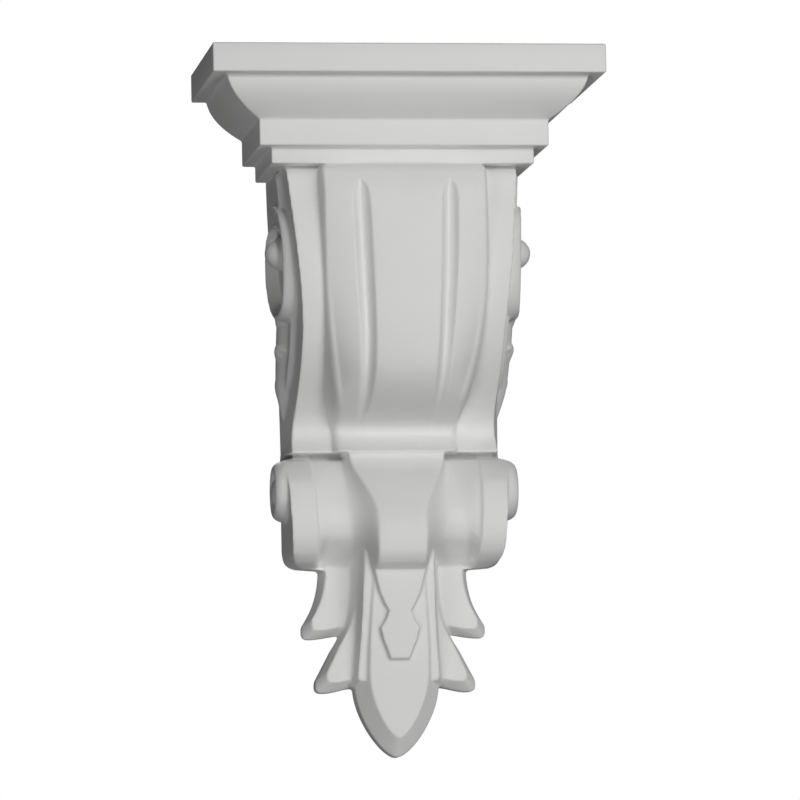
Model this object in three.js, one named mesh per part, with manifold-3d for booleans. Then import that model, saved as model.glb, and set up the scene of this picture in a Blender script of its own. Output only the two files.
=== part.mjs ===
// A wall corbel, cast in one piece: a stepped cap over a scrolled bracket with a fluted belly,
// a roll with round eyes, and a leaf that hangs below it.
// Millimetres, +Z up. The back lies flat in the plane y = 0, the front looks along -Y, and the
// origin is on the back face, halfway up. Depths are measured forward from the wall, and drops
// are measured down from the top of the cap.
import * as THREE from "three";
import { mergeVertices } from "three/addons/utils/BufferGeometryUtils.js";
import Module from "manifold-3d";

const wasm = await Module();
wasm.setup();

// Cap, from the top down: a slab, a swelling moulding and two flat bands, each set back.
const capWidth = 190.5;
const capDepth = 99;
const slabHeight = 14;
const slabSoffit = 7.4;
const swellReach = 17.3;
const swellHeight = 19.3;
const upperBandHeight = 12.7;
const bandStep = 6.4;
const lowerBandHeight = 7.9;

// Heights of the bracket, the roll and the leaf, and how far each runs into what is above it.
const bracketHeight = 136;
const rollHeight = 57.6;
const leafHeight = 90.9;
const overlap = 4;
const behind = -1;

// Bracket: half widths at the wall and along the front edge, and depths of the front.
const wallHalfTop = 59;
const wallHalfFoot = 54;
const edgeHalfTop = 56.3;
const edgeHalfWaist = 50.3;
const panelHalfTop = 41;
const panelHalfFoot = 30.6;
const borderDepthTop = 59;
const borderDepthMost = 69.5;
const borderDepthWaist = 14.3;
const lipDepth = 19;
const panelRiseTop = 9;
const panelRiseMost = 31;
const panelRoundTop = 2.6;
const panelRoundMost = 7;

// Two spindle flutes in the belly.
const fluteSpacingTop = 21.8;
const fluteSpacingFoot = 18.3;
const fluteHalfWidth = 4.5;
const fluteDepth = 4.4;

// Roll: two flat rims, a hollow beside each and a strap that narrows down the middle.
const rimHalfOuter = 53;
const rimHalfInner = 40.6;
const rimDepth = 33.8;
const rimStep = 1.5;
const rimLift = 1.8;
const hollowDepth = 30.5;
const hollowHalfTop = 25.8;
const hollowHalfFoot = 19.5;
const pocketHalf = 36.5;
const strapDepth = 43.8;
const strapHalfTop = 23.5;
const strapHalfFoot = 11.6;
const eyeRadius = 15;
const eyeProud = 7.2;
const eyeDepth = 14.2;
const eyeDrop = 18.5;

// Carving on each cheek: a scroll round a boss, and a leaf of three lobes on a stem.
const cheekMargin = 15;
const cheekProud = 2.6;
const scrollHeight = 25;
const scrollReach = 18;
const scrollProud = 7.4;
const scrollWidth = 7;
const scrollDepth = 38;
const scrollDrop = 35;
const bossRadius = 8.5;
const bossProud = 10.4;
const lobeHalf = 5.4;
const lobeReach = 59.6;

// Leaf: outer lobes, inner lobes, a pointed blade and a tongue laid on the blade.
const outerRootHalf = 36.6;
const outerTipHalf = 45.4;
const innerRootHalf = 21.4;
const innerTipHalf = 39.4;
const bladeRootHalf = 17;
const bladeHalf = 20.8;
const outerLobeDepth = 7.6;
const innerLobeDepthTop = 18;
const innerLobeDepthTip = 11.5;
const bladeDepthTop = 28.5;
const bladeDepthTip = 17.5;
const tongueProud = 2.6;
const bladeEdgeDepthTop = 18.5;
const bladeEdgeDepthTip = 10;

// Places that follow from those sizes.
const capHeight = slabHeight + swellHeight + upperBandHeight + lowerBandHeight;
const bracketEnd = capHeight + bracketHeight;
const rollEnd = bracketEnd + rollHeight;
const height = rollEnd + leafHeight;
const wallDrop = height / 2;
const upperBandInset = slabSoffit + swellReach;
const lowerBandInset = upperBandInset + bandStep;

const zAt = (drop) => wallDrop - drop;
const mix = (a, b, t) => a + (b - a) * t;
const clamp01 = (t) => Math.min(1, Math.max(0, t));
const ease = (t) => clamp01(t) * clamp01(t) * (3 - 2 * clamp01(t));

// A smooth curve through [place, value] knots, read off by its place.
function through(knots) {
  const slopes = knots.map((knot, i) => {
    const before = knots[Math.max(0, i - 1)];
    const after = knots[Math.min(knots.length - 1, i + 1)];
    return (after[1] - before[1]) / (after[0] - before[0]);
  });
  return (place) => {
    const at = Math.min(Math.max(place, knots[0][0]), knots[knots.length - 1][0]);
    let i = 0;
    while (i < knots.length - 2 && at > knots[i + 1][0]) i++;
    const [x0, y0] = knots[i];
    const [x1, y1] = knots[i + 1];
    const span = x1 - x0;
    const t = (at - x0) / span;
    return (
      y0 * (1 + 2 * t) * (1 - t) ** 2 +
      slopes[i] * span * t * (1 - t) ** 2 +
      y1 * t * t * (3 - 2 * t) +
      slopes[i + 1] * span * t * t * (t - 1)
    );
  };
}

// A closed solid from rings of equal length. Each end is closed by a fan about its middle, or
// by the triangles of the flat outline that its rings follow.
function loft(rings, outline) {
  const count = rings[0].length;
  const middles = [rings[0], rings[rings.length - 1]].map((ring) =>
    [0, 1, 2].map((axis) => ring.reduce((sum, point) => sum + point[axis], 0) / count),
  );
  const positions = [...rings.flat(), ...(outline ? [] : middles)].flat();
  const firstMiddle = rings.length * count;
  const lastRing = firstMiddle - count;
  const index = [];
  for (let i = 0; i < count; i++) {
    const next = (i + 1) % count;
    for (let start = 0; start < lastRing; start += count) {
      index.push(start + i, start + next, start + count + i);
      index.push(start + next, start + count + next, start + count + i);
    }
    if (outline) continue;
    index.push(next, i, firstMiddle);
    index.push(lastRing + i, lastRing + next, firstMiddle + 1);
  }
  const faces = outline ? THREE.ShapeUtils.triangulateShape(outline, []) : [];
  const clockwise = outline ? THREE.ShapeUtils.isClockWise(outline) : false;
  for (const [a, b, c] of faces) {
    const [p, q] = clockwise ? [c, b] : [b, c];
    index.push(a, q, p, lastRing + a, lastRing + p, lastRing + q);
  }
  const geometry = new THREE.BufferGeometry();
  geometry.setAttribute("position", new THREE.Float32BufferAttribute(positions, 3));
  geometry.setIndex(index);
  return geometry;
}

// A geometry as a manifold-3d solid, with its faces turned out.
function solid(geometry) {
  const bare = geometry.index ? geometry.toNonIndexed() : geometry.clone();
  bare.deleteAttribute("normal");
  bare.deleteAttribute("uv");
  const merged = mergeVertices(bare, 1e-4);
  const triVerts = new Uint32Array(merged.index.array);
  const vertProperties = merged.attributes.position.array;
  const made = new wasm.Manifold(new wasm.Mesh({ numProp: 3, vertProperties, triVerts }));
  if (made.volume() > 0) return made;
  for (let i = 0; i < triVerts.length; i += 3) {
    [triVerts[i + 1], triVerts[i + 2]] = [triVerts[i + 2], triVerts[i + 1]];
  }
  return new wasm.Manifold(new wasm.Mesh({ numProp: 3, vertProperties, triVerts }));
}

const joined = (solids) => solids.reduce((sum, next) => sum.add(next));

// A shape and its mirror image in the middle plane.
function bothSides(geometry) {
  const other = geometry.clone().applyMatrix4(new THREE.Matrix4().makeScale(-1, 1, 1));
  return [solid(geometry), solid(other)];
}

// Cap: one rectangle after another, mitred at the corners.
function makeCap() {
  const swell = new THREE.QuadraticBezierCurve(
    new THREE.Vector2(slabSoffit, slabHeight),
    new THREE.Vector2(slabSoffit + 0.11 * swellReach, slabHeight + 0.55 * swellHeight),
    new THREE.Vector2(upperBandInset, slabHeight + swellHeight),
  );
  const upperEnd = capHeight - lowerBandHeight;
  const profile = [
    [0, 0],
    [0, slabHeight],
    ...swell.getPoints(8).map((point) => [point.x, point.y]),
    [upperBandInset, upperEnd],
    [lowerBandInset, upperEnd],
    [lowerBandInset, capHeight],
  ];
  const rings = profile.map(([inset, drop]) => {
    const half = capWidth / 2 - inset;
    const front = inset - capDepth;
    return [
      [-half, -behind, zAt(drop)],
      [-half, front, zAt(drop)],
      [half, front, zAt(drop)],
      [half, -behind, zAt(drop)],
    ];
  });
  return solid(loft(rings));
}

// Bracket sizes down its height, as curves of the share t from the cap to the lip.
const borderDepthAt = through([
  [0, borderDepthTop],
  [0.03, mix(borderDepthTop, borderDepthMost, 0.52)],
  [0.06, mix(borderDepthTop, borderDepthMost, 0.68)],
  [0.15, mix(borderDepthTop, borderDepthMost, 0.86)],
  [0.28, borderDepthMost],
  [0.38, mix(borderDepthWaist, borderDepthMost, 0.98)],
  [0.49, mix(borderDepthWaist, borderDepthMost, 0.86)],
  [0.62, mix(borderDepthWaist, borderDepthMost, 0.64)],
  [0.74, mix(borderDepthWaist, borderDepthMost, 0.38)],
  [0.82, mix(borderDepthWaist, borderDepthMost, 0.15)],
  [0.91, borderDepthWaist],
  [1, lipDepth - 1],
]);
const panelRiseAt = through([
  [0, panelRiseTop],
  [0.1, 1.1 * panelRiseTop],
  [0.3, mix(panelRiseTop, panelRiseMost, 0.26)],
  [0.5, mix(panelRiseTop, panelRiseMost, 0.57)],
  [0.64, mix(panelRiseTop, panelRiseMost, 0.86)],
  [0.73, mix(panelRiseTop, panelRiseMost, 0.94)],
  [0.79, mix(panelRiseTop, panelRiseMost, 0.7)],
  [0.85, mix(panelRiseTop, panelRiseMost, 0.16)],
  [0.9, 0.52 * panelRiseTop],
  [1, 0.36 * panelRiseTop],
]);
const edgeHalfAt = through([
  [0, edgeHalfTop],
  [0.3, mix(edgeHalfTop, edgeHalfWaist, 0.45)],
  [0.6, mix(edgeHalfTop, edgeHalfWaist, 0.95)],
  [0.8, edgeHalfWaist],
  [1, edgeHalfWaist + 1],
]);
const panelHalfAt = through([
  [0, panelHalfTop],
  [0.4, mix(panelHalfTop, panelHalfFoot, 0.1)],
  [0.62, mix(panelHalfTop, panelHalfFoot, 0.26)],
  [0.8, mix(panelHalfTop, panelHalfFoot, 0.56)],
  [0.9, mix(panelHalfTop, panelHalfFoot, 0.95)],
  [1, panelHalfFoot],
]);
const panelRoundAt = through([
  [0, panelRoundTop],
  [0.4, panelRoundTop],
  [0.62, 0.75 * panelRoundMost],
  [0.8, panelRoundMost],
  [1, 0.5 * panelRoundMost],
]);
const wallHalfAt = through([
  [0, wallHalfTop],
  [0.15, mix(wallHalfTop, wallHalfFoot, 0.1)],
  [0.35, mix(wallHalfTop, wallHalfFoot, 0.4)],
  [0.53, mix(wallHalfTop, wallHalfFoot, 0.8)],
  [1, wallHalfFoot],
]);
const crownAt = through([
  [0, 1],
  [0.15, 3],
  [0.4, 5],
  [0.66, 10],
  [0.76, 11],
  [0.88, 2],
  [1, 0.6],
]);
const fluteMiddleAt = through([
  [0.06, fluteSpacingTop],
  [0.4, mix(fluteSpacingTop, fluteSpacingFoot, 0.5)],
  [0.93, fluteSpacingFoot],
]);
const fluteHalfAt = through([
  [0.06, 0.1 * fluteHalfWidth],
  [0.1, 0.85 * fluteHalfWidth],
  [0.2, fluteHalfWidth],
  [0.5, 0.88 * fluteHalfWidth],
  [0.75, 0.72 * fluteHalfWidth],
  [0.93, 0.1 * fluteHalfWidth],
]);

// Half of the bracket's outline at a share t of its height, from the middle to the wall.
function bracketHalf(t) {
  const border = borderDepthAt(t);
  const crest = border + panelRiseAt(t);
  const panelHalf = panelHalfAt(t);
  const panelRound = panelRoundAt(t);
  const shoulder = panelHalf - panelRound;
  const front = (x) => crest - crownAt(t) * Math.abs(x / shoulder) ** 3;
  const middle = fluteMiddleAt(t);
  const half = fluteHalfAt(t);
  const cut = fluteDepth * clamp01(half / fluteHalfWidth - 0.1);
  const points = [[0, front(0)], [0.6 * (middle - half), front(0.6 * (middle - half))]];
  for (const step of [-1, -0.6, 0, 0.6, 1]) {
    const x = middle + step * half;
    points.push([x, front(x) - cut * (1 - step * step)]);
  }
  for (let i = 0; i <= 4; i++) {
    const turn = (i * Math.PI) / 8;
    points.push([
      shoulder + panelRound * Math.sin(turn),
      mix(border, front(shoulder), Math.cos(turn)),
    ]);
  }
  points.push([edgeHalfAt(t), border], [wallHalfAt(t), 0], [wallHalfAt(t), behind]);
  return points;
}

// A ring at one drop from half an outline, mirrored in the middle plane.
function ringOf(half, drop) {
  const right = half.map(([x, depth]) => [x, -depth, zAt(drop)]);
  const left = half.slice(1).reverse().map(([x, depth]) => [-x, -depth, zAt(drop)]);
  return [...left, ...right];
}

function makeBracket() {
  const levels = 34;
  const rings = [ringOf(bracketHalf(0), capHeight - overlap)];
  for (let i = 0; i <= levels; i++) {
    rings.push(ringOf(bracketHalf(i / levels), capHeight + (i / levels) * bracketHeight));
  }
  return solid(loft(rings));
}

// Roll depths down its height, as curves of the share t from the lip to the underside.
const rimDepthAt = through([
  [0, 0.36 * rimDepth],
  [0.03, 0.47 * rimDepth],
  [0.08, 0.66 * rimDepth],
  [0.26, 0.91 * rimDepth],
  [0.5, rimDepth],
  [0.72, 0.98 * rimDepth],
  [0.88, 0.82 * rimDepth],
  [0.96, 0.58 * rimDepth],
  [1, 0.3 * rimDepth],
]);
const strapDepthAt = through([
  [0, 0.34 * strapDepth],
  [0.03, 0.44 * strapDepth],
  [0.1, 0.6 * strapDepth],
  [0.26, 0.79 * strapDepth],
  [0.45, 0.92 * strapDepth],
  [0.65, strapDepth],
  [0.85, 0.98 * strapDepth],
  [0.95, 0.88 * strapDepth],
  [1, 0.74 * strapDepth],
]);
const strapHalfAt = (t) => mix(strapHalfTop, strapHalfFoot, ease(t / 0.55));
const hollowDepthAt = through([
  [0, 0.38 * hollowDepth],
  [0.08, 0.6 * hollowDepth],
  [0.26, 0.86 * hollowDepth],
  [0.48, hollowDepth],
  [0.62, 0.95 * hollowDepth],
  [0.75, 0.76 * hollowDepth],
  [0.85, 0.5 * hollowDepth],
  [0.93, 0.31 * hollowDepth],
  [1, 0.22 * hollowDepth],
]);
const hollowStartAt = (t) => mix(hollowHalfTop, hollowHalfFoot, ease((t - 0.55) / 0.45));
const hollowEndAt = (t) => mix(hollowHalfTop + 2, pocketHalf, ease((t - 0.3) / 0.6));

function rollHalf(t) {
  const rim = rimDepthAt(t);
  const strap = strapDepthAt(t);
  const strapHalf = strapHalfAt(t);
  const hollow = Math.min(hollowDepthAt(t), rim - 1.2 * rimStep);
  const points = [[0, strap], [0.7 * strapHalf, strap]];
  for (let i = 0; i <= 5; i++) {
    const share = i / 5;
    const x = mix(strapHalf, hollowStartAt(t), share);
    points.push([x, mix(strap - 0.3, hollow, ease(share))]);
  }
  for (let i = 0; i <= 4; i++) {
    const share = i / 4;
    const x = mix(hollowEndAt(t), rimHalfInner, share);
    points.push([x, mix(hollow, rim - rimStep, ease(share))]);
  }
  const wall = wallHalfFoot + 0.4;
  points.push([rimHalfInner + 0.4, rim], [rimHalfOuter, rim], [wall, 0], [wall, behind]);
  return points;
}

// The roll starts inside the bracket and ends in a slightly domed underside, which rises a
// little towards the rims.
const undersideDome = 1.3;
function makeRoll() {
  const levels = 22;
  const lifted = (ring, share) =>
    ring.map(([x, y, z]) => {
      const lift = ease((share - 0.5) / 0.5) * ease((Math.abs(x) - hollowHalfFoot) / 12);
      return [x, y, z + rimLift * lift];
    });
  const drawnIn = (half, share) =>
    half.map(([x, depth]) => [share * x, Math.max(share * depth, behind)]);
  const rings = [ringOf(drawnIn(rollHalf(0), 0.92), bracketEnd - overlap)];
  for (let i = 0; i <= levels; i++) {
    const share = i / levels;
    rings.push(lifted(ringOf(rollHalf(share), bracketEnd + share * rollHeight), share));
  }
  rings.push(lifted(ringOf(drawnIn(rollHalf(1), 0.55), rollEnd + undersideDome), 1));
  return solid(loft(rings));
}

// Carving on a cheek is placed by its reach from the middle plane, its depth and its drop
// below the cap, on the right cheek, and then mirrored.
const onCheek = (reach, depth, drop) => [reach, -depth, zAt(capHeight + drop)];
const cheekFoot = edgeHalfWaist - 4;

// A round form turned about an axis that runs across the corbel, as [radius, reach] points
// from its foot out to its face.
const turnedSides = 24;
function turned(outline, depth, drop) {
  const rings = outline.map(([radius, reach]) =>
    Array.from({ length: turnedSides }, (_, i) => {
      const turn = (i * 2 * Math.PI) / turnedSides;
      return onCheek(reach, depth + radius * Math.cos(turn), drop + radius * Math.sin(turn));
    }),
  );
  return loft(rings);
}

// A rounded ridge along a route on the cheek, each stop as [depth, drop, half width, reach].
const ridgeSection = [[-1, 0], [-1, 0.7], [-0.62, 0.93], [0, 1], [0.62, 0.93], [1, 0.7], [1, 0]];
function ridge(stops) {
  const rings = stops.map(([depth, drop, half, reach], i) => {
    const before = stops[Math.max(0, i - 1)];
    const after = stops[Math.min(stops.length - 1, i + 1)];
    const way = new THREE.Vector2(after[0] - before[0], after[1] - before[1]).normalize();
    return ridgeSection.map(([side, lift]) =>
      onCheek(
        mix(cheekFoot, reach, lift),
        depth - way.y * side * half,
        drop + way.x * side * half,
      ),
    );
  });
  return loft(rings);
}

// A low raised field, a margin back from the front edge, on which the carving lies.
function makeField() {
  const levels = 12;
  const rings = [];
  for (let i = 0; i <= levels; i++) {
    const t = mix(0.01, 0.85, i / levels);
    const border = borderDepthAt(t);
    const front = Math.max(border - cheekMargin, 6) - 4 * ease((t - 0.7) / 0.15);
    const faceAt = (depth) => mix(wallHalfAt(t), edgeHalfAt(t), depth / border);
    const proud = mix(cheekProud, 0.6, ease((t - 0.7) / 0.15));
    rings.push([
      onCheek(cheekFoot, behind, t * bracketHeight),
      onCheek(faceAt(0), behind, t * bracketHeight),
      onCheek(faceAt(front - 2) + proud, front - 2, t * bracketHeight),
      onCheek(faceAt(front) - 0.4, front, t * bracketHeight),
      onCheek(cheekFoot, front, t * bracketHeight),
    ]);
  }
  return loft(rings);
}

// The scroll comes from under the cap, goes once round the boss as a tall oval and closes in.
function makeScroll() {
  const reach = edgeHalfTop + scrollProud;
  const half = scrollWidth / 2;
  const stops = [];
  const steps = 24;
  for (let i = 0; i <= steps; i++) {
    const share = i / steps;
    const turn = mix(-0.7 * Math.PI, 1.9 * Math.PI, share);
    const size = mix(1, 0.58, ease((share - 0.45) / 0.5));
    stops.push([
      scrollDepth + size * scrollReach * Math.cos(turn),
      scrollDrop + size * scrollHeight * Math.sin(turn),
      mix(half, 0.6 * half, share),
      reach - 3 * (1 - ease(share / 0.12)) - 1.6 * ease((share - 0.5) / 0.4),
    ]);
  }
  return ridge(stops);
}

// The leaf under the scroll: a husk that runs down the middle of the cheek, and three lobes
// that lie across it and curl back.
function makeCheekLeaf() {
  const husk = [
    [31, 62, 3, lobeReach - 3],
    [29.5, 68, 6.5, lobeReach - 1],
    [26, 78, 8, lobeReach - 0.6],
    [20, 88, 7.6, lobeReach - 0.9],
    [14.5, 98, 6.4, lobeReach - 1.2],
    [10, 106, 5, lobeReach - 2],
    [7, 112, 3.6, lobeReach - 3.2],
    [5, 118, 2, lobeReach - 5.2],
  ];
  const lobes = [
    [39, 66, lobeReach + 0.6],
    [31, 84, lobeReach + 0.4],
    [20, 100, lobeReach - 0.6],
  ].map(([depth, drop, reach]) => {
    const stops = [];
    for (let i = 0; i <= 6; i++) {
      const share = i / 6;
      const swelling = Math.sin(Math.PI * (0.06 + 0.88 * share));
      stops.push([
        depth - 15 * share,
        drop - 3 * Math.sin(Math.PI * share) + 9 * share * share,
        lobeHalf * swelling ** 0.7,
        mix(cheekFoot + 6.5, reach, swelling ** 0.6),
      ]);
    }
    return ridge(stops);
  });
  return [ridge(husk), ...lobes];
}

// The round eyes at the ends of the roll, and the boss in the scroll.
function makeEye() {
  const reach = rimHalfOuter + eyeProud;
  const outline = [
    [eyeRadius, cheekFoot],
    [eyeRadius, reach - 4.6],
    [eyeRadius - 0.8, reach - 2.4],
    [eyeRadius - 2.2, reach - 0.7],
    [eyeRadius - 3.8, reach],
    [eyeRadius - 5.2, reach - 0.7],
    [eyeRadius - 6.2, reach - 3],
    [eyeRadius - 8.4, reach - 3],
    [eyeRadius - 9.6, reach - 0.6],
    [eyeRadius - 12.2, reach + 0.4],
  ];
  return turned(outline, eyeDepth, bracketHeight + eyeDrop);
}

function makeBoss() {
  const outline = [[bossRadius, cheekFoot]];
  const face = edgeHalfTop - 1;
  for (let i = 0; i <= 5; i++) {
    const turn = (i * Math.PI) / 11;
    outline.push([bossRadius * Math.cos(turn), face + bossProud * Math.sin(turn)]);
  }
  return turned(outline, scrollDepth, scrollDrop);
}

// Places on the leaf: a share of its height below the roll, as a height above the origin.
const leafAt = (share) => zAt(rollEnd + share * leafHeight);
const leafRoot = zAt(rollEnd - overlap);

// One piece of the leaf: an outline in the plane of the wall, thick as far as its edge, and
// then drawn in about a point at the root, with one wide bevel, to a smaller front face.
function leafPiece(shape, rootX, drawIn, edgeDepths, faceDepths) {
  const outline = shape.getPoints(8);
  if (outline[0].distanceTo(outline[outline.length - 1]) < 0.01) outline.pop();
  const steps = [behind, 0, 1];
  const rings = steps.map((step) => {
    const inward = Math.max(0, step);
    const scaleX = mix(1, drawIn[0], inward);
    const scaleZ = mix(1, drawIn[1], inward);
    return outline.map((point) => {
      const share = clamp01((zAt(rollEnd) - point.y) / leafHeight);
      const edge = mix(edgeDepths[0], edgeDepths[1], share);
      const face = mix(faceDepths[0], faceDepths[1], share);
      const depth = step < 0 ? step : mix(edge, face, step);
      return [
        rootX + (point.x - rootX) * scaleX,
        -depth,
        leafRoot + (point.y - leafRoot) * scaleZ,
      ];
    });
  });
  return loft(rings, outline);
}

function outerLobe() {
  const shape = new THREE.Shape();
  const tip = outerTipHalf;
  shape.moveTo(8, leafRoot);
  shape.lineTo(outerRootHalf, leafRoot);
  shape.bezierCurveTo(outerRootHalf, leafAt(0.12), tip - 5.4, leafAt(0.2), tip, leafAt(0.29));
  shape.quadraticCurveTo(tip + 1.2, leafAt(0.36), tip - 2.9, leafAt(0.36));
  shape.bezierCurveTo(37, leafAt(0.36), 32, leafAt(0.345), 27.5, leafAt(0.34));
  shape.lineTo(8, leafAt(0.26));
  const faces = [outerLobeDepth + 1.2, outerLobeDepth - 0.6];
  return leafPiece(shape, 22, [0.8, 0.88], [2.2, 1.4], faces);
}

function innerLobe() {
  const shape = new THREE.Shape();
  const tip = innerTipHalf;
  shape.moveTo(2, leafRoot);
  shape.lineTo(innerRootHalf, leafRoot);
  shape.bezierCurveTo(innerRootHalf, leafAt(0.22), 25, leafAt(0.32), 31.6, leafAt(0.425));
  shape.lineTo(tip, leafAt(0.585));
  shape.quadraticCurveTo(tip + 1.4, leafAt(0.65), tip - 2.8, leafAt(0.65));
  shape.bezierCurveTo(31, leafAt(0.655), 26, leafAt(0.625), 20.6, leafAt(0.625));
  shape.lineTo(2, leafAt(0.55));
  const edges = [innerLobeDepthTop - 8, innerLobeDepthTip - 8];
  return leafPiece(shape, 6, [0.84, 0.92], edges, [innerLobeDepthTop, innerLobeDepthTip]);
}

function blade() {
  const shape = new THREE.Shape();
  const root = bladeRootHalf;
  const widest = bladeHalf;
  shape.moveTo(-root, leafRoot);
  shape.quadraticCurveTo(0.8 - widest, leafAt(0.3), -widest, leafAt(0.61));
  shape.bezierCurveTo(-widest, leafAt(0.78), -9, leafAt(0.955), 0, leafAt(1));
  shape.bezierCurveTo(9, leafAt(0.955), widest, leafAt(0.78), widest, leafAt(0.61));
  shape.quadraticCurveTo(widest - 0.8, leafAt(0.3), root, leafRoot);
  const edges = [bladeEdgeDepthTop, bladeEdgeDepthTip];
  return leafPiece(shape, 0, [0.69, 0.9], edges, [bladeDepthTop, bladeDepthTip]);
}

function tongue() {
  const shape = new THREE.Shape();
  const halves = [[-0.04, 14.6], [0.12, 10.8], [0.185, 8.2], [0.225, 5.8], [0.27, 7.2],
    [0.32, 10.2], [0.38, 8.8], [0.44, 6.4], [0.485, 5]];
  halves.forEach(([share, half], i) => {
    if (i) shape.lineTo(half, leafAt(share));
    else shape.moveTo(half, leafAt(share));
  });
  [...halves].reverse().forEach(([share, half]) => shape.lineTo(-half, leafAt(share)));
  const faces = [bladeDepthTop + tongueProud, bladeDepthTip + tongueProud];
  const edges = [bladeDepthTop - 1, bladeDepthTip - 1];
  return leafPiece(shape, 0, [0.92, 0.985], edges, faces);
}

// Everything is one casting, trimmed flat at the wall.
const behindWall = new THREE.BoxGeometry(2 * capWidth, capDepth, 2 * height);
behindWall.translate(0, capDepth / 2, 0);
const casting = joined([
  makeCap(),
  makeBracket(),
  makeRoll(),
  ...bothSides(makeField()),
  ...bothSides(makeScroll()),
  ...makeCheekLeaf().flatMap(bothSides),
  ...bothSides(makeBoss()),
  ...bothSides(makeEye()),
  ...bothSides(outerLobe()),
  ...bothSides(innerLobe()),
  solid(blade()),
  solid(tongue()),
]).subtract(solid(behindWall));

// Joining leaves edges too short and faces too thin to make. Short edges are closed up, and the
// long side of a thin face is turned to run across it and its neighbour.
const shortEdge = 0.1;
const thinFace = 0.02;
function evened({ vertProperties, triVerts }) {
  const at = (i) => new THREE.Vector3().fromArray(vertProperties, 3 * i);
  let faces = [];
  for (let i = 0; i < triVerts.length; i += 3) faces.push([...triVerts.slice(i, i + 3)]);
  for (let pass = 0; pass < 12; pass++) {
    const around = new Map();
    const sides = new Map();
    faces.forEach((face, f) =>
      face.forEach((vertex, k) => {
        if (!around.has(vertex)) around.set(vertex, new Set());
        around.get(vertex).add(f);
        sides.set(vertex + "_" + face[(k + 1) % 3], f);
      }),
    );
    const ringOfVertex = (v) => new Set([...around.get(v)].flatMap((f) => faces[f]));
    const touched = new Set();
    const gone = new Set();
    for (let f = 0; f < faces.length; f++) {
      const face = faces[f];
      if (gone.has(f) || face.some((v) => touched.has(v))) continue;
      const lengths = face.map((v, k) => at(v).distanceTo(at(face[(k + 1) % 3])));
      const shortest = lengths.indexOf(Math.min(...lengths));
      const longest = lengths.indexOf(Math.max(...lengths));
      const [a, b, c] = face.map((_, k) => at(face[k]));
      const area = b.clone().sub(a).cross(c.clone().sub(a)).length() / 2;
      if (lengths[shortest] < shortEdge) {
        const keep = face[shortest];
        const drop = face[(shortest + 1) % 3];
        const near = [...ringOfVertex(keep)].filter((v) => ringOfVertex(drop).has(v));
        if (near.length !== 4 || near.some((v) => touched.has(v))) continue;
        for (const v of [...ringOfVertex(keep), ...ringOfVertex(drop)]) touched.add(v);
        for (const other of around.get(drop)) {
          if (faces[other].includes(keep)) gone.add(other);
          else faces[other] = faces[other].map((v) => (v === drop ? keep : v));
        }
      } else if ((2 * area) / lengths[longest] < thinFace) {
        const [p, q, r] = [0, 1, 2].map((k) => face[(longest + k) % 3]);
        const other = sides.get(q + "_" + p);
        const s = faces[other].find((v) => v !== p && v !== q);
        if (gone.has(other) || touched.has(s) || ringOfVertex(r).has(s)) continue;
        for (const v of [p, q, r, s]) touched.add(v);
        faces[f] = [p, s, r];
        faces[other] = [s, q, r];
      }
    }
    faces = faces.filter((_, f) => !gone.has(f));
    if (!touched.size) break;
  }
  return faces;
}

function toGeometry(made) {
  const { vertProperties, triVerts } = made.getMesh();
  const geometry = new THREE.BufferGeometry();
  geometry.setAttribute("position", new THREE.BufferAttribute(vertProperties, 3));
  geometry.setIndex(evened({ vertProperties, triVerts }).flat());
  const faceted = geometry.toNonIndexed();
  faceted.computeVertexNormals();
  return faceted;
}

const primedCasting = new THREE.MeshStandardMaterial({
  color: 0xdcdcda,
  roughness: 0.62,
  metalness: 0,
});
const corbel = new THREE.Mesh(toGeometry(casting), primedCasting);
corbel.name = "corbel";

const group = new THREE.Group();
group.add(corbel);

export default group;
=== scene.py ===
# %% [markdown]
# A white wall corbel is dressed here around its CAD model. The real thing is one casting: a
# stepped cap, a scrolled bracket with a fluted belly, a roll with round eyes, and a leaf that
# hangs below. The CAD model has the same forms with few faces. This file makes the casting again
# with the soft edges that a mould leaves, gives it its primer, and lights it as in a studio.
# Everything is in metres, in the frame of the CAD model: the wall is the plane y = 0, the front
# looks along -Y, and the origin is on the back, halfway up.

# %% Load the frame
import math

import bpy
from mathutils import Matrix, Vector


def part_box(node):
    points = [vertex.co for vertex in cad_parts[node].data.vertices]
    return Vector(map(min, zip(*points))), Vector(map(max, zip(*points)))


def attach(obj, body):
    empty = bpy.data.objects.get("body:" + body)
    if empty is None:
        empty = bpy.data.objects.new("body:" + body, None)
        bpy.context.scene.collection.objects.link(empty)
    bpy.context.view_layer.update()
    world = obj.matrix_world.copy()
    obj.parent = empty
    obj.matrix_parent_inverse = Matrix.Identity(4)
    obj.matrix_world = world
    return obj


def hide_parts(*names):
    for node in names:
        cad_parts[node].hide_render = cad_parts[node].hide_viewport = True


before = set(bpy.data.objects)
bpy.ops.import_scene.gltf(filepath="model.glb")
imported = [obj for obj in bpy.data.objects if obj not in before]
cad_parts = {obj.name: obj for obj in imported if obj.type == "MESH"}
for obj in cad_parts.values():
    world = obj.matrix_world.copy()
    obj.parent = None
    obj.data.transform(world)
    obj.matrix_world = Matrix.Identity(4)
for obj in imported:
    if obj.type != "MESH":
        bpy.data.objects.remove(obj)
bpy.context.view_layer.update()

low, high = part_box("corbel")
cap_half = high.x
cap_depth = -low.y
top = high.z
height = high.z - low.z
print("the casting is", [round(v, 4) for v in (2 * cap_half, cap_depth, height)], "metres")

# %% [markdown]
# Every form below needs the same few small helps: a value between two others, a soft step, and a
# smooth curve through a handful of places. A curve through places is how a carver's templates
# work, so the sizes stay few and each one can be read off the real piece.

# %% Helps for curves
def mix(a, b, share):
    return a + (b - a) * share


def clamp(value):
    return min(1.0, max(0.0, value))


def ease(value):
    return clamp(value) ** 2 * (3 - 2 * clamp(value))


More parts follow.
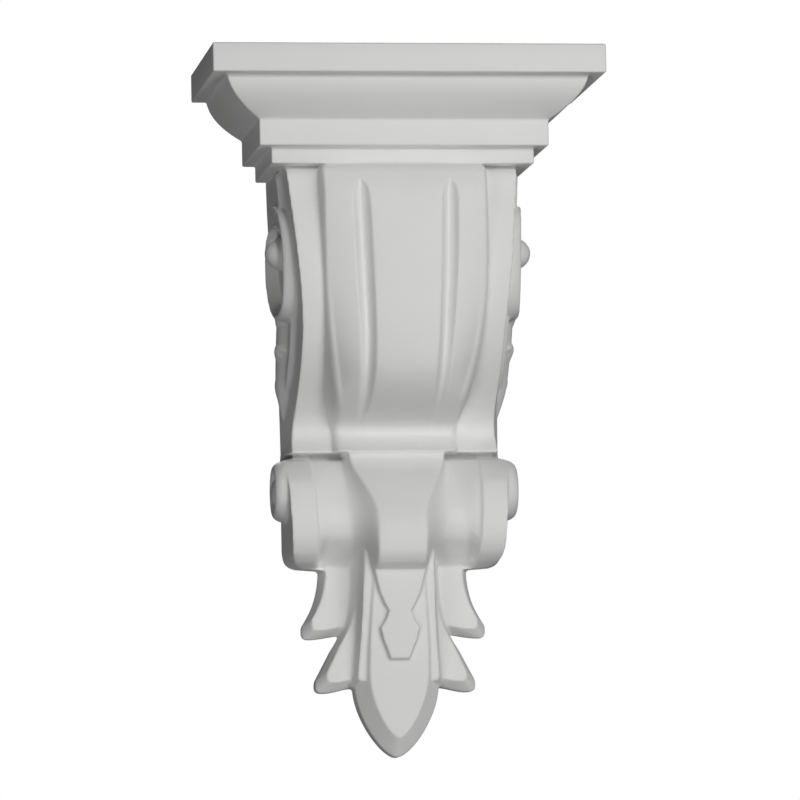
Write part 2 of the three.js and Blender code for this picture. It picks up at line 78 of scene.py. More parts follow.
def shares(count):
    return [i / count for i in range(count + 1)]


def through(knots):
    """A smooth curve through (place, value) knots, read off by its place."""
    slopes = []
    for i in range(len(knots)):
        before = knots[max(0, i - 1)]
        after = knots[min(len(knots) - 1, i + 1)]
        slopes.append((after[1] - before[1]) / (after[0] - before[0]))

    def read(place):
        at = min(max(place, knots[0][0]), knots[-1][0])
        i = 0
        while i < len(knots) - 2 and at > knots[i + 1][0]:
            i += 1
        (x0, y0), (x1, y1) = knots[i], knots[i + 1]
        span = x1 - x0
        t = (at - x0) / span
        return (
            y0 * (1 + 2 * t) * (1 - t) ** 2
            + slopes[i] * span * t * (1 - t) ** 2
            + y1 * t * t * (3 - 2 * t)
            + slopes[i + 1] * span * t * t * (t - 1)
        )

    return read


# %% [markdown]
# Long carved forms, such as the bracket, could be pushed out of a block face by face. It is
# quicker and truer to begin with a flat filled circle that has one vertex for each point of the
# outline, to extrude it ring by ring, and then to set each ring on its own outline. The result is
# always closed, so it can be joined to the next form later.

# %% Forms drawn out ring by ring
behind = -0.003


def deselect():
    if bpy.context.object and bpy.context.object.mode != "OBJECT":
        bpy.ops.object.mode_set(mode="OBJECT")
    bpy.ops.object.select_all(action="DESELECT")


def edit(piece, select="SELECT"):
    deselect()
    bpy.context.view_layer.objects.active = piece
    piece.select_set(True)
    bpy.ops.object.mode_set(mode="EDIT")
    bpy.ops.mesh.select_all(action=select)


def drawn_out(name, rings):
    deselect()
    count = len(rings[0])
    bpy.ops.mesh.primitive_circle_add(vertices=count, radius=1, fill_type="NGON")
    piece = bpy.context.object
    piece.name = name
    edit(piece)
    for _ in rings[1:]:
        bpy.ops.mesh.extrude_region_move(TRANSFORM_OT_translate={"value": (0, 0, 1)})
    bpy.ops.object.mode_set(mode="OBJECT")
    for vertex in piece.data.vertices:
        turn = math.atan2(-vertex.co.x, vertex.co.y) % math.tau
        place = round(turn * count / math.tau) % count
        vertex.co = rings[round(vertex.co.z)][place]
    edit(piece)
    bpy.ops.mesh.normals_make_consistent(inside=False)
    deselect()
    return piece


def finished(piece, kind, **settings):
    """Adds a modifier with these settings and applies it."""
    deselect()
    bpy.context.view_layer.objects.active = piece
    modifier = piece.modifiers.new(kind, kind)
    for key, value in settings.items():
        setattr(modifier, key, value)
    bpy.ops.object.modifier_apply(modifier=modifier.name)


def as_one(name, pieces):
    deselect()
    for piece in pieces:
        piece.select_set(True)
    bpy.context.view_layer.objects.active = pieces[0]
    bpy.ops.object.join()
    pieces[0].name = name
    return pieces[0]


# %% [markdown]
# The cap is a slab over a swelling moulding and two flat bands, and it goes round three sides
# with mitred corners. A plasterer would run a template along it. Here a flat plane is extruded
# down and drawn in step by step, always about the wall's centre line, so that the front and the
# sides step back by the same amount and the back stays flat. A small bevel then softens every
# hard edge, as the primer does on the real one.

# %% The cap
slab_height = 0.014
slab_soffit = 0.0074
swell_reach = 0.0173
swell_height = 0.0193
swell_lead = 0.11
swell_fall = 0.55
upper_band = 0.0127
band_step = 0.0064
lower_band = 0.0079
cap_height = slab_height + swell_height + upper_band + lower_band
edge_softness = 0.0009
edge_angle = math.radians(28)


def swell_point(share):
    """Inset and drop on the swell, a curve that is full at the top and sweeps in below."""
    inset = 2 * share * (1 - share) * swell_lead * swell_reach + share**2 * swell_reach
    drop = 2 * share * (1 - share) * swell_fall * swell_height + share**2 * swell_height
    return slab_soffit + inset, slab_height + drop


def make_cap():
    inset = slab_soffit + swell_reach
    upper_end = slab_height + swell_height + upper_band
    profile = [(0, 0), (0, slab_height)]
    profile += [swell_point(share) for share in shares(24)]
    profile += [(inset, upper_end), (inset + band_step, upper_end), (inset + band_step, cap_height)]
    deselect()
    bpy.ops.mesh.primitive_plane_add(size=1, location=(0, 0, 0))
    cap = bpy.context.object
    cap.name = "cap"
    edit(cap)
    bpy.ops.transform.resize(value=(2 * cap_half, cap_depth - behind, 1))
    bpy.ops.transform.translate(value=(0, -(cap_depth + behind) / 2, top))
    for (inset_0, drop_0), (inset_1, drop_1) in zip(profile, profile[1:]):
        bpy.ops.mesh.extrude_region_move(
            TRANSFORM_OT_translate={"value": (0, 0, drop_0 - drop_1)}
        )
        across = (cap_half - inset_1) / (cap_half - inset_0)
        forward = (cap_depth - inset_1 - behind) / (cap_depth - inset_0 - behind)
        bpy.ops.transform.resize(
            value=(across, forward, 1), center_override=(0, -behind, top - drop_1)
        )
    bpy.ops.mesh.select_all(action="SELECT")
    bpy.ops.mesh.normals_make_consistent(inside=False)
    deselect()
    finished(
        cap, "BEVEL", width=edge_softness, segments=3, limit_method="ANGLE", angle_limit=edge_angle,
    )
    return cap


cap = make_cap()
print("cap:", len(cap.data.polygons), "faces")

# %% [markdown]
# The bracket carries the cap. Its front is a plain border on each side of a belly that swells
# forward, and two spindle flutes are cut in the belly. Each size is a curve of the share of the
# way down, from 0 under the cap to 1 at the lip above the roll.

# %% The bracket's curves
bracket_height = 0.136
overlap = 0.004
edge_half_top = 0.0567
edge_half_waist = 0.0492
panel_half_top = 0.041
panel_half_foot = 0.0306
border_most = 0.0695
belly_most = 0.0779
wall_half_foot = 0.054

border_depth = through([
    (0, 0.0580), (0.015, 0.0606), (0.03, 0.0624), (0.06, 0.0634), (0.1, 0.0645), (0.2, 0.0675),
    (0.32, border_most), (0.42, 0.0688), (0.52, 0.0650), (0.62, 0.0576), (0.70, 0.0486),
    (0.76, 0.0395), (0.82, 0.0290), (0.87, 0.0208), (0.91, 0.0168), (0.95, 0.0172), (1, 0.0212),
])
belly_depth = through([
    (0, 0.0679), (0.015, 0.0704), (0.04, 0.0726), (0.1, 0.0756), (0.2, 0.0772), (0.35, belly_most),
    (0.5, 0.0772), (0.6, 0.0752), (0.68, 0.0717), (0.74, 0.0672), (0.79, 0.0603), (0.83, 0.0515),
    (0.86, 0.0420), (0.88, 0.0336), (0.895, 0.0274), (0.91, 0.0232), (0.93, 0.0216),
    (0.95, 0.0224), (0.975, 0.0248), (1, 0.0280),
])
edge_half = through([
    (0, edge_half_top), (0.3, 0.0528), (0.45, 0.0508), (0.6, edge_half_waist + 0.0002),
    (0.82, edge_half_waist), (1, edge_half_waist + 0.0017),
])
panel_half = through([
    (0, panel_half_top - 0.001), (0.02, panel_half_top),
    (0.4, mix(panel_half_top, panel_half_foot, 0.1)),
    (0.62, mix(panel_half_top, panel_half_foot, 0.26)),
    (0.8, mix(panel_half_top, panel_half_foot, 0.56)),
    (0.9, mix(panel_half_top, panel_half_foot, 0.95)), (1, panel_half_foot),
])
crown = through([
    (0, 0.001), (0.15, 0.003), (0.4, 0.005), (0.66, 0.010), (0.76, 0.011), (0.88, 0.002), (1, 0.0006),
])
wall_half = through([
    (0, 0.059), (0.15, 0.0585), (0.35, 0.057), (0.53, 0.055), (0.75, 0.0545), (1, wall_half_foot),
])

print("the belly is", round(belly_depth(0.7) - border_depth(0.7), 4), "proud of the border low down")

# %% The bracket
panel_round = through([(0, 0.0024), (0.4, 0.0024), (0.62, 0.004), (0.8, 0.0055), (1, 0.003)])
flute_depth = 0.0046
flute_least = 0.0004
flute_fade = 0.0033
flute_middle = through([
    (0.06, 0.0219), (0.1, 0.0217), (0.37, 0.0206), (0.62, 0.0190), (0.78, 0.0182), (0.93, 0.0179),
])
flute_half = through([
    (0.055, flute_least), (0.1, 0.0034), (0.2, 0.0041), (0.4, 0.0041), (0.62, 0.0037),
    (0.78, 0.0032), (0.86, 0.0024), (0.93, flute_least),
])
levels_per_metre = 1100


def bracket_half(share):
    """Half of the outline at a share of the height, from the middle round to the wall."""
    border = border_depth(share)
    crest = belly_depth(share)
    shoulder = panel_half(share) - panel_round(share)

    def front(x):
        return crest - crown(share) * abs(x / shoulder) ** 3

    middle = flute_middle(share)
    half = flute_half(share)
    cut = flute_depth * clamp((half - flute_least) / flute_fade)
    outline = [(x, front(x)) for x in [mix(0, middle - half, s) for s in shares(8)[:-1]]]
    for step in [2 * s - 1 for s in shares(16)]:
        x = middle + step * half
        outline.append((x, front(x) - cut * (1 - abs(step) ** 1.3)))
    outline += [(x, front(x)) for x in [mix(middle + half, shoulder, s) for s in shares(5)[1:-1]]]
    for turn in [s * math.pi / 2 for s in shares(10)]:
        side = shoulder + panel_round(share) * math.sin(turn)
        outline.append((side, mix(border, front(shoulder), math.cos(turn))))
    outline += [(edge_half(share), border), (wall_half(share), 0), (wall_half(share), behind)]
    return outline


def ring_of(half, z):
    """A whole ring at one height from half an outline, mirrored in the middle plane."""
    right = [(x, -depth, z) for x, depth in half]
    left = [(-x, -depth, z) for x, depth in half[:0:-1]]
    return left + right


def make_bracket():
    start = top - cap_height
    rings = [ring_of(bracket_half(0), start + overlap)]
    for share in shares(round(bracket_height * levels_per_metre)):
        rings.append(ring_of(bracket_half(share), start - share * bracket_height))
    return drawn_out("bracket", rings)


bracket = make_bracket()
print("bracket:", len(bracket.data.polygons), "faces")

# %% [markdown]
# Below the bracket's lip the casting rolls forward again. The roll has a flat rim at each end, a
# hollow beside each rim, and a strap down its middle that narrows. Its section is drawn out in
# the same way as the bracket.

# %% The roll
roll_height = 0.0576
rim_half_outer = 0.053
rim_most = 0.0338
rim_step = 0.0015
rim_lift = 0.0018
hollow_most = 0.0305
strap_most = 0.0438
strap_half_top = 0.0235
strap_half_foot = 0.0116
underside_dome = 0.0013

rim_share = through([
    (0, 0.36), (0.04, 0.38), (0.06, 0.55), (0.1, 0.66), (0.17, 0.79), (0.28, 0.92), (0.5, 1),
    (0.72, 0.98), (0.88, 0.82), (0.96, 0.58), (1, 0.3),
])
strap_share = through([
    (0, 0.6), (0.04, 0.6), (0.08, 0.62), (0.14, 0.67), (0.26, 0.79), (0.45, 0.92), (0.65, 1),
    (0.85, 0.98), (0.95, 0.88), (1, 0.74),
])
hollow_share = through([
    (0, 0.34), (0.04, 0.36), (0.06, 0.48), (0.12, 0.6), (0.26, 0.78), (0.45, 0.96), (0.56, 1),
    (0.66, 0.97), (0.76, 0.85), (0.86, 0.57), (0.93, 0.38), (1, 0.25),
])
rim_outer = through([(0, 0.0492), (0.03, 0.0492), (0.055, 0.0545), (0.1, 0.0545), (1, 0.0518)])
corner_inset = through([
    (0.84, 0), (0.9, 0.0004), (0.94, 0.0011), (0.965, 0.0021), (0.985, 0.0037), (1, 0.0062),
])
rim_inner = through([(0, 0.0418), (1, 0.0394)])
flank_foot = through([(0, 0.0258), (0.55, 0.0258), (0.8, 0.0225), (1, 0.0195)])
rim_foot = through([(0, 0.0275), (0.4, 0.0285), (0.7, 0.033), (0.85, 0.036), (1, 0.0365)])


def roll_half(share):
    rim = rim_most * rim_share(share)
    strap = strap_most * strap_share(share)
    strap_half = mix(strap_half_top, strap_half_foot, ease(share / 0.55))
    hollow = min(hollow_most * hollow_share(share), rim - 0.0004)
    outline = [(s * 0.7 * strap_half, strap) for s in shares(3)]
    for s in shares(12):
        side = mix(strap_half, flank_foot(share), s)
        outline.append((side, mix(strap - 0.0003, hollow, ease(s**0.75))))
    for s in shares(10)[1:]:
        side = mix(max(rim_foot(share), flank_foot(share) + 0.001), rim_inner(share), s)
        outline.append((side, mix(hollow, rim - rim_step, ease(s))))
    inset = corner_inset(share)
    wall = wall_half_foot + 0.0003 - inset
    outline += [
        (rim_inner(share) + 0.0002, rim), (rim_outer(share) - inset, rim), (wall, 0), (wall, behind),
    ]
    return outline


def lifted(ring, share):
    """The underside of the roll rises a little towards the rims."""
    lift = rim_lift * ease((share - 0.5) / 0.5)
    return [(x, y, z + lift * ease((abs(x) - 0.018) / 0.012)) for x, y, z in ring]


def make_roll():
    start = top - cap_height - bracket_height

    def drawn_in(half, share):
        return [(share * x, max(share * depth, behind)) for x, depth in half]

    rings = [ring_of(drawn_in(roll_half(0), 0.92), start + overlap)]
    for share in shares(round(roll_height * levels_per_metre)):
        rings.append(lifted(ring_of(roll_half(share), start - share * roll_height), share))
    dome = start - roll_height - underside_dome
    rings.append(lifted(ring_of(drawn_in(roll_half(1), 0.55), dome), 1))
    return drawn_out("roll", rings)


roll = make_roll()
print("roll:", len(roll.data.polygons), "faces")

# %% [markdown]
# Each cheek has low carving: a field set a margin back from the front edge, a scroll that closes
# in on a round boss, and a leaf of three lobes on a stem. All of it is modelled on the right
# cheek, and a Mirror modifier makes the left one, as the carver would turn the template over.

# %% Carving on the cheeks
cheek_margin = 0.015
field_proud = 0.0026
scroll_height = 0.0265
scroll_width = 0.0195
scroll_proud = 0.004
scroll_band = 0.007
scroll_depth = 0.038
scroll_drop = 0.0445
scroll_turns = (-0.62 * math.pi, 1.9 * math.pi)
scroll_close = 0.58
scroll_lean = 0.0022
scroll_sag = 0.001
scroll_sink = 0.003
boss_radius = 0.0082
boss_depth = 0.043
boss_drop = 0.041
boss_proud = 0.0096
lobe_half = 0.0056
lobe_reach = 0.0588
ridge_fall = 0.38
cheek_foot = 0.0463


def on_cheek(reach, depth, drop):
    return (reach, -depth, top - cap_height - drop)


def turned(name, outline, depth, drop, sides=64):
    """A round form about an axis across the corbel, as (radius, reach) from its foot outwards."""
    rings = []
    for radius, reach in outline:
        turns = [math.tau * i / sides for i in range(sides)]
        rings.append([
            on_cheek(reach, depth + radius * math.cos(turn), drop + radius * math.sin(turn))
            for turn in turns
        ])
    return drawn_out(name, rings)


def ridge(name, stops):
    """A rounded ridge along a route of (depth, drop, half width, reach) stops."""
    section = [(-1, 0)]
    section += [(side, 1 - ridge_fall * side**2) for side in [2 * s - 1 for s in shares(12)]]
    section.append((1, 0))
    rings = []
    for i, (depth, drop, half, reach) in enumerate(stops):
        before = stops[max(0, i - 1)]
        after = stops[min(len(stops) - 1, i + 1)]
        way = Vector((after[0] - before[0], after[1] - before[1])).normalized()
        rings.append([
            on_cheek(mix(cheek_foot, reach, lift), depth - way.y * side * half, drop + way.x * side * half)
            for side, lift in section
        ])
    return drawn_out(name, rings)


def make_field():
    rings = []
    for s in shares(60):
        share = mix(0.01, 0.85, s)
        border = border_depth(share)
        tail = ease((share - 0.7) / 0.15)
        front = max(border - cheek_margin, 0.006) - 0.004 * tail
        proud = mix(field_proud, 0.0006, tail)
        drop = share * bracket_height

        def face(depth):
            return mix(wall_half(share), edge_half(share), depth / border)

        rings.append([
            on_cheek(cheek_foot, behind, drop),
            on_cheek(face(0), behind, drop),
            on_cheek(face(front - 0.002) + proud, front - 0.002, drop),
            on_cheek(face(front) - 0.0004, front, drop),
            on_cheek(cheek_foot, front, drop),
        ])
    return drawn_out("cheek_field", rings)


def fuller(value):
    """A sine or cosine drawn out a little, which squares up the oval it makes."""
    return math.copysign(abs(value) ** 0.82, value)


def make_scroll():
    reach = edge_half_top + scroll_proud
    stops = []
    for s in shares(90):
        turn = mix(*scroll_turns, s)
        size = mix(1, scroll_close, ease((s - 0.45) / 0.5))
        stops.append((
            scroll_depth + size * scroll_width * fuller(math.cos(turn)),
            scroll_drop + size * scroll_height * fuller(math.sin(turn)),
            mix(0.5, 0.3, s) * scroll_band * mix(0.25, 1, ease(s / 0.25)),
            reach - scroll_lean * math.cos(turn) - scroll_sag * math.sin(turn)
            - scroll_sink * (1 - ease(s / 0.08)) - scroll_sink * ease((s - 0.6) / 0.4),
        ))
    return ridge("cheek_scroll", stops)


def make_husk():
    """The middle rib of the leaf, down the middle of the cheek: depth, half width and reach."""
    depth = through([(0.062, 0.031), (0.078, 0.026), (0.098, 0.0145), (0.118, 0.005)])
    half = through([
        (0.062, 0.003), (0.068, 0.008), (0.078, 0.010), (0.088, 0.0095), (0.106, 0.006), (0.118, 0.002),
    ])
    sunk = through([
        (0.062, 0.003), (0.068, 0.001), (0.078, 0.0006), (0.098, 0.0012), (0.106, 0.002), (0.118, 0.0052),
    ])
    drops = [mix(0.062, 0.118, s) for s in shares(50)]
    return ridge("cheek_husk", [(depth(d), d, half(d), lobe_reach - sunk(d)) for d in drops])


def make_cheek_lobe(name, depth, drop, reach):
    stops = []
    for s in shares(30):
        swell = math.sin(math.pi * (0.06 + 0.88 * s))
        stops.append((
            depth - 0.015 * s, drop - 0.003 * math.sin(math.pi * s) + 0.009 * s * s,
            lobe_half * swell**0.7, mix(cheek_foot + 0.0065, reach, swell**0.6),
        ))
    return ridge(name, stops)


def make_boss():
    face = edge_half_top - 0.001
    outline = [(boss_radius, cheek_foot)]
    for turn in [s * math.pi / 2 for s in shares(12)[:-1]]:
        outline.append((boss_radius * math.cos(turn), face + boss_proud * math.sin(turn)))
    return turned("cheek_boss", outline, boss_depth, boss_drop)


carving = [
    make_field(),
    make_scroll(),
    make_husk(),
    make_cheek_lobe("cheek_lobe_upper", 0.039, 0.072, lobe_reach + 0.0006),
    make_cheek_lobe("cheek_lobe_middle", 0.032, 0.087, lobe_reach + 0.0004),
    make_cheek_lobe("cheek_lobe_lower", 0.020, 0.102, lobe_reach - 0.0010),
    make_boss(),
]
print("cheek carving:", len(carving), "forms on the right side")

# %% [markdown]
# A round eye closes each end of the roll: a raised ring, a groove and a button. It is a turned
# form, so its outline is drawn once and swept round the axis.

# %% The eyes of the roll
eye_radius = 0.015
eye_proud = 0.0072
eye_depth = 0.0142
eye_drop = 0.0185

eye_reach = rim_half_outer + eye_proud
eye = turned(
    "roll_eye",
    [
        (eye_radius, cheek_foot),
        (eye_radius, eye_reach - 0.0048),
        (eye_radius - 0.0006, eye_reach - 0.0028),
        (eye_radius - 0.0018, eye_reach - 0.0010),
        (eye_radius - 0.0034, eye_reach),
        (eye_radius - 0.0050, eye_reach - 0.0006),
        (eye_radius - 0.0062, eye_reach - 0.0030),
        (eye_radius - 0.0084, eye_reach - 0.0030),
        (eye_radius - 0.0096, eye_reach - 0.0006),
        (eye_radius - 0.0122, eye_reach + 0.0004),
    ],
    eye_depth,
    bracket_height + eye_drop,
)
print("eye:", len(eye.data.polygons), "faces")

# %% [markdown]
# The leaf hangs below the roll. It has an outer and an inner lobe on each side, a pointed blade
# and a tongue laid on the blade. Each piece is an outline that is thick as far as its edge, and
# is then drawn in towards its root to a smaller face, which leaves the wide bevel that catches
# the light on the real leaf.

# %% The leaf
leaf_height = 0.0909
roll_end = top - cap_height - bracket_height - roll_height
leaf_root = roll_end + overlap
lobe_root = roll_end + 0.009


def leaf_at(share):
    return roll_end - share * leaf_height


def bezier(start, first, second, end, count=16):
    """Points on a curve, without its start."""
    return [
        tuple(
            start[k] * (1 - t) ** 3 + 3 * first[k] * t * (1 - t) ** 2
            + 3 * second[k] * t * t * (1 - t) + end[k] * t**3
            for k in (0, 1)
        )
        for t in shares(count)[1:]
    ]


def leaf_piece(name, outline, root_x, draw_in, edge_depths, face_depths):
    rings = [[(x, -behind, z) for x, z in outline]]
    for share in shares(6):
        ring = []
        for x, z in outline:
            down = (roll_end - z) / leaf_height
            edge = mix(edge_depths[0], edge_depths[1], down)
            face = mix(face_depths[0], face_depths[1], down)
            ring.append((
                root_x + (x - root_x) * mix(1, draw_in[0], share),
                -mix(edge, face, share),
                leaf_root + (z - leaf_root) * mix(1, draw_in[1], share),
            ))
        rings.append(ring)
    return drawn_out(name, rings)


def make_outer_lobe():
    root, tip = 0.0366, 0.0454
    outline = [(0.008, lobe_root), (root - 0.002, lobe_root), (root, leaf_root)]
    outline += bezier(
        outline[-1], (root, leaf_at(0.12)), (tip - 0.0054, leaf_at(0.2)), (tip, leaf_at(0.29)),
    )
    outline += bezier(
        outline[-1], (tip + 0.0008, leaf_at(0.337)), (tip - 0.0002, leaf_at(0.36)),
        (tip - 0.0029, leaf_at(0.36)), 8,
    )
    outline += bezier(
        outline[-1], (0.037, leaf_at(0.36)), (0.032, leaf_at(0.345)), (0.0275, leaf_at(0.34)), 8,
    )
    outline.append((0.008, leaf_at(0.26)))
    return leaf_piece("outer_lobe", outline, 0.022, (0.8, 0.88), (0.0022, 0.0014), (0.0092, 0.007))


def make_inner_lobe():
    root, tip = 0.0214, 0.0394
    outline = [(0.002, lobe_root), (root - 0.001, lobe_root), (root, leaf_root)]
    outline += bezier(
        outline[-1], (root, leaf_at(0.22)), (0.025, leaf_at(0.32)), (0.0316, leaf_at(0.425)),
    )
    outline.append((tip, leaf_at(0.585)))
    outline += bezier(
        outline[-1], (tip + 0.0009, leaf_at(0.628)), (tip, leaf_at(0.65)),
        (tip - 0.0028, leaf_at(0.65)), 8,
    )
    outline += bezier(
        outline[-1], (0.031, leaf_at(0.655)), (0.026, leaf_at(0.625)), (0.0206, leaf_at(0.625)), 8,
    )
    outline.append((0.002, leaf_at(0.55)))
    return leaf_piece("inner_lobe", outline, 0.006, (0.84, 0.92), (0.010, 0.0035), (0.0165, 0.0105))


def make_rib():
    """A rib on the inner lobe, close along the blade."""
    outline = [(0.012, lobe_root), (0.0195, lobe_root)]
    outline += bezier(
        outline[-1], (0.0195, leaf_at(0.2)), (0.0215, leaf_at(0.4)), (0.0235, leaf_at(0.6)),
    )
    outline += bezier(
        outline[-1], (0.0225, leaf_at(0.64)), (0.020, leaf_at(0.63)), (0.012, leaf_at(0.6)), 8,
    )
    return leaf_piece("rib", outline, 0.012, (0.7, 0.95), (0.0155, 0.0063), (0.0276, 0.0128))


def make_blade():
    root, widest = 0.017, 0.0208
    right = [(root, leaf_root)]
    right += bezier(
        right[-1], (0.019, leaf_at(0.18)), (widest, leaf_at(0.4)), (widest, leaf_at(0.61)),
    )
    right += bezier(right[-1], (widest, leaf_at(0.79)), (0.0065, leaf_at(1)), (0, leaf_at(1)), 30)
    outline = right + [(-x, z) for x, z in right[-2::-1]]
    return leaf_piece("blade", outline, 0, (0.69, 0.9), (0.0172, 0.0078), (0.0285, 0.0172))


def make_tongue():
    halves = [
        (-0.04, 0.0146), (0.12, 0.0108), (0.185, 0.0082), (0.225, 0.0058), (0.27, 0.0072),
        (0.32, 0.0102), (0.38, 0.0088), (0.44, 0.0064), (0.485, 0.005),
    ]
    outline = [(half, leaf_at(share)) for share, half in halves]
    outline += [(-x, z) for x, z in outline[::-1]]
    return leaf_piece("tongue", outline, 0, (0.92, 0.985), (0.0275, 0.0165), (0.0311, 0.0201))


lobes = [make_outer_lobe(), make_inner_lobe(), make_rib()]
blade = make_blade()
tongue = make_tongue()
print("leaf:", 2 * len(lobes) + 2, "pieces")

# %% [markdown]
# The casting is one piece, so the forms become one skin. They could be joined by booleans alone,
# which leaves knife-sharp lines where they meet. A voxel remesh of the carved forms, finer than a
# millimetre, closes them into one skin, and a little smoothing rounds every line as the mould and
# the primer do. The skin is then thinned, because its calm stretches need few faces. The cap keeps
# its crisp edges, so it is joined on by a boolean afterwards. Last, everything is cut off flat at
# the wall.

# %% One casting
voxel = 0.0007
smoothing_steps = 2
kept_share = 0.38


def mirrored(piece):
    finished(piece, "MIRROR", use_axis=(True, False, False), use_mirror_merge=False)
    return piece


sides = mirrored(as_one("sides", carving + [eye] + lobes))
corbel = as_one("corbel_casting", [bracket, roll, blade, tongue, sides])
finished(corbel, "REMESH", mode="VOXEL", voxel_size=voxel, adaptivity=0)
finished(corbel, "SMOOTH", factor=0.5, iterations=smoothing_steps)
print("carved skin:", len(corbel.data.polygons), "faces")
edit(corbel)
bpy.ops.mesh.bisect(
    plane_co=(0, -behind / 2, 0), plane_no=(0, 1, 0), use_fill=True, clear_outer=True
)
deselect()
finished(corbel, "DECIMATE", ratio=kept_share)
print("carved skin, thinned:", len(corbel.data.polygons), "faces")
finished(corbel, "BOOLEAN", operation="UNION", solver="MANIFOLD", object=cap)
bpy.data.objects.remove(cap)
edit(corbel)
bpy.ops.mesh.bisect(
    plane_co=(0, 0, 0), plane_no=(0, 1, 0), use_fill=True, clear_outer=True, threshold=0.00001
)
deselect()
corbel.select_set(True)
bpy.context.view_layer.objects.active = corbel
bpy.ops.object.shade_smooth_by_angle(angle=math.radians(35))
corbel.data.calc_loop_triangles()
print("casting:", len(corbel.data.loop_triangles), "triangles")

# %% [markdown]
# The finish is a factory primer: white, soft and a little uneven. A single flat colour would look
# like plastic film, so fine noise on Object coordinates moves the colour and the gloss a little,
# and two sizes of noise feed a Bump node: the orange peel of the spray and slow waves in the
# moulded foam below it.

# %% Primer
def primer():
    material = bpy.data.materials.new("primed_urethane")
    material.use_nodes = True
    nodes = material.node_tree.nodes
    links = material.node_tree.links
    shader = nodes["Principled BSDF"]
    shader.inputs["Specular IOR Level"].default_value = 0.4
    place = nodes.new("ShaderNodeTexCoord")

    def noise(scale, detail, roughness):
        made = nodes.new("ShaderNodeTexNoise")
        made.inputs["Scale"].default_value = scale
        made.inputs["Detail"].default_value = detail
        made.inputs["Roughness"].default_value = roughness
        links.new(place.outputs["Object"], made.inputs["Vector"])
        return made.outputs["Fac"]

    def ranged(value, low_value, high_value):
        made = nodes.new("ShaderNodeMapRange")
        made.inputs["From Min"].default_value = 0.3
        made.inputs["From Max"].default_value = 0.7
        made.inputs["To Min"].default_value = low_value
        made.inputs["To Max"].default_value = high_value
        links.new(value, made.inputs["Value"])
        return made.outputs["Result"]

    slow = noise(38, 3, 0.5)
    peel = noise(900, 2, 0.6)
    tint = nodes.new("ShaderNodeMix")
    tint.data_type = "RGBA"
    tint.inputs["A"].default_value = (0.80, 0.80, 0.79, 1)
    tint.inputs["B"].default_value = (0.84, 0.84, 0.835, 1)
    links.new(slow, tint.inputs["Factor"])
    links.new(tint.outputs["Result"], shader.inputs["Base Color"])
    links.new(ranged(peel, 0.5, 0.62), shader.inputs["Roughness"])
    waves = nodes.new("ShaderNodeBump")
    waves.inputs["Distance"].default_value = 0.0006
    waves.inputs["Strength"].default_value = 0.25
    links.new(slow, waves.inputs["Height"])
    spray = nodes.new("ShaderNodeBump")
    spray.inputs["Distance"].default_value = 0.00006
    spray.inputs["Strength"].default_value = 0.35
    links.new(peel, spray.inputs["Height"])
    links.new(waves.outputs["Normal"], spray.inputs["Normal"])
    links.new(spray.outputs["Normal"], shader.inputs["Normal"])
    return material


corbel.data.materials.clear()
corbel.data.materials.append(primer())
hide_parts("corbel")
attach(corbel, "root")
print("primer on", corbel.name)

# %% [markdown]
# The camera stands where the photographer stood: nearly three metres off, a little to the left
# and below, with a long lens. Its place was found from the edges of the cap. A turn of one degree
# about its own axis takes up the slight lean of the picture.

# %% Camera
camera_place = Vector((-0.3982, -2.8167, -0.2832))
camera_back = Vector((-0.14127, -0.98475, -0.10154)).normalized()
camera_lean = math.radians(-1.1)
camera_lens = 260.9

level_right = Vector((0, 0, 1)).cross(camera_back).normalized()
level_up = camera_back.cross(level_right)
right = level_right * math.cos(camera_lean) + level_up * math.sin(camera_lean)
up = level_up * math.cos(camera_lean) - level_right * math.sin(camera_lean)
camera_data = bpy.data.cameras.new("camera")
camera_data.sensor_width = 36
camera_data.lens = camera_lens
camera = bpy.data.objects.new("camera", camera_data)
bpy.context.scene.collection.objects.link(camera)
camera.matrix_world = Matrix.LocRotScale(
    camera_place, Matrix((right, up, camera_back)).transposed(), None
)
bpy.context.scene.camera = camera
print("camera at", tuple(round(v, 3) for v in camera.location))

# %% [markdown]
# The light of the picture is soft and almost frontal, a little from the right and above, and two
# soft lamps low down at each side fill the undersides. Large area lamps give that. A lamp behind
# lights only the back and the top, for views from there. The floor lies far below, so the lamps
# hardly reach it: it shines a little itself, but only for the camera, so the corbel's undersides
# stay as they are. The sky stays white, as in a studio picture.

# %% Light and floor
lamp_distance = 2.6
floor_drop = 3.4
floor_size = 60
floor_shine = 0.8
sky_glow = 0.005


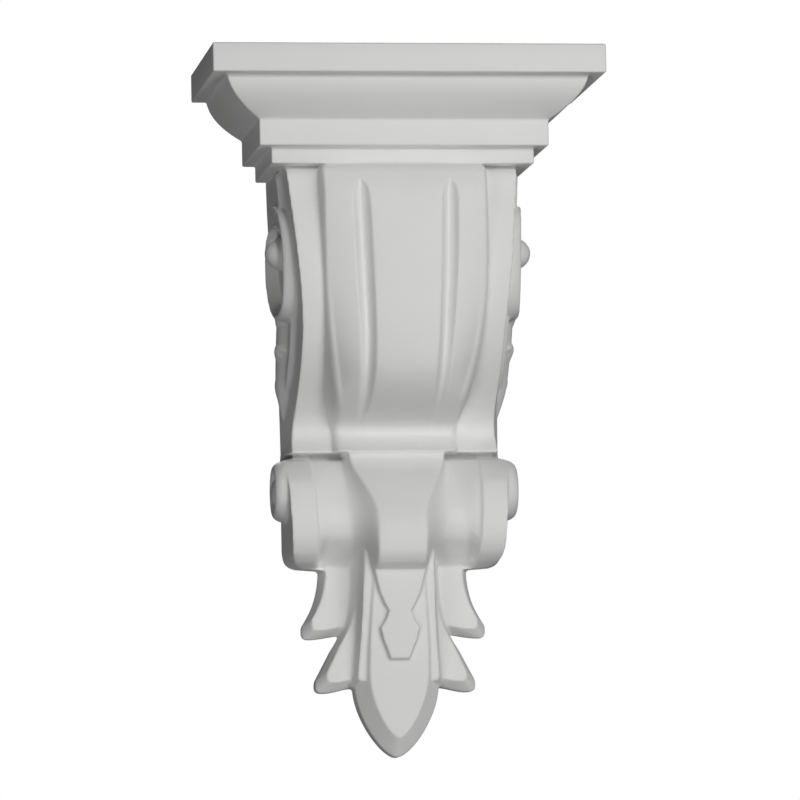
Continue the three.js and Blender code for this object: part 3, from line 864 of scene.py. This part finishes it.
def lamp(name, azimuth, elevation, size, power):
    """A round soft lamp that looks at the corbel. Azimuth 0 is in front, 90 is to the right."""
    turn = math.radians(azimuth)
    rise = math.radians(elevation)
    way = Vector((math.sin(turn) * math.cos(rise), -math.cos(turn) * math.cos(rise), math.sin(rise)))
    data = bpy.data.lights.new(name, "AREA")
    data.shape = "DISK"
    data.size = size
    data.energy = power
    made = bpy.data.objects.new(name, data)
    bpy.context.scene.collection.objects.link(made)
    made.location = way * lamp_distance
    made.rotation_euler = (-way).to_track_quat("-Z", "Y").to_euler()
    return made


lamp("key", 25, 5, 1.2, 12)
lamp("front", 10, 15, 0.5, 18)
lamp("low left", -40, -30, 1.2, 16)
lamp("low right", 40, -30, 1.2, 10.5)
lamp("high", 25, 35, 1.2, 3.5)
lamp("behind", 180, 35, 1.2, 18)

deselect()
bpy.ops.mesh.primitive_plane_add(size=floor_size, location=(0, 0, -floor_drop))
floor = bpy.context.object
floor.name = "floor"
pale = bpy.data.materials.new("pale_floor")
pale.use_nodes = True
paint = pale.node_tree.nodes["Principled BSDF"]
paint.inputs["Base Color"].default_value = (0.9, 0.9, 0.9, 1)
paint.inputs["Roughness"].default_value = 0.9
paint.inputs["Emission Color"].default_value = (1, 1, 1, 1)
paint.inputs["Emission Strength"].default_value = floor_shine
floor.data.materials.append(pale)
floor.visible_diffuse = False
floor.visible_glossy = False

world = bpy.data.worlds.new("studio")
world.use_nodes = True
bpy.context.scene.world = world
sky_nodes = world.node_tree.nodes
sky_links = world.node_tree.links
seen = sky_nodes["Background"]
seen.inputs["Color"].default_value = (1, 1, 1, 1)
seen.inputs["Strength"].default_value = 1.0
glow = sky_nodes.new("ShaderNodeBackground")
glow.inputs["Color"].default_value = (1, 1, 1, 1)
glow.inputs["Strength"].default_value = sky_glow
path = sky_nodes.new("ShaderNodeLightPath")
choice = sky_nodes.new("ShaderNodeMixShader")
sky_links.new(path.outputs["Is Camera Ray"], choice.inputs["Fac"])
sky_links.new(glow.outputs["Background"], choice.inputs[1])
sky_links.new(seen.outputs["Background"], choice.inputs[2])
sky_links.new(choice.outputs["Shader"], sky_nodes["World Output"].inputs["Surface"])
bpy.context.scene.view_settings.view_transform = "Standard"
print("studio lit")
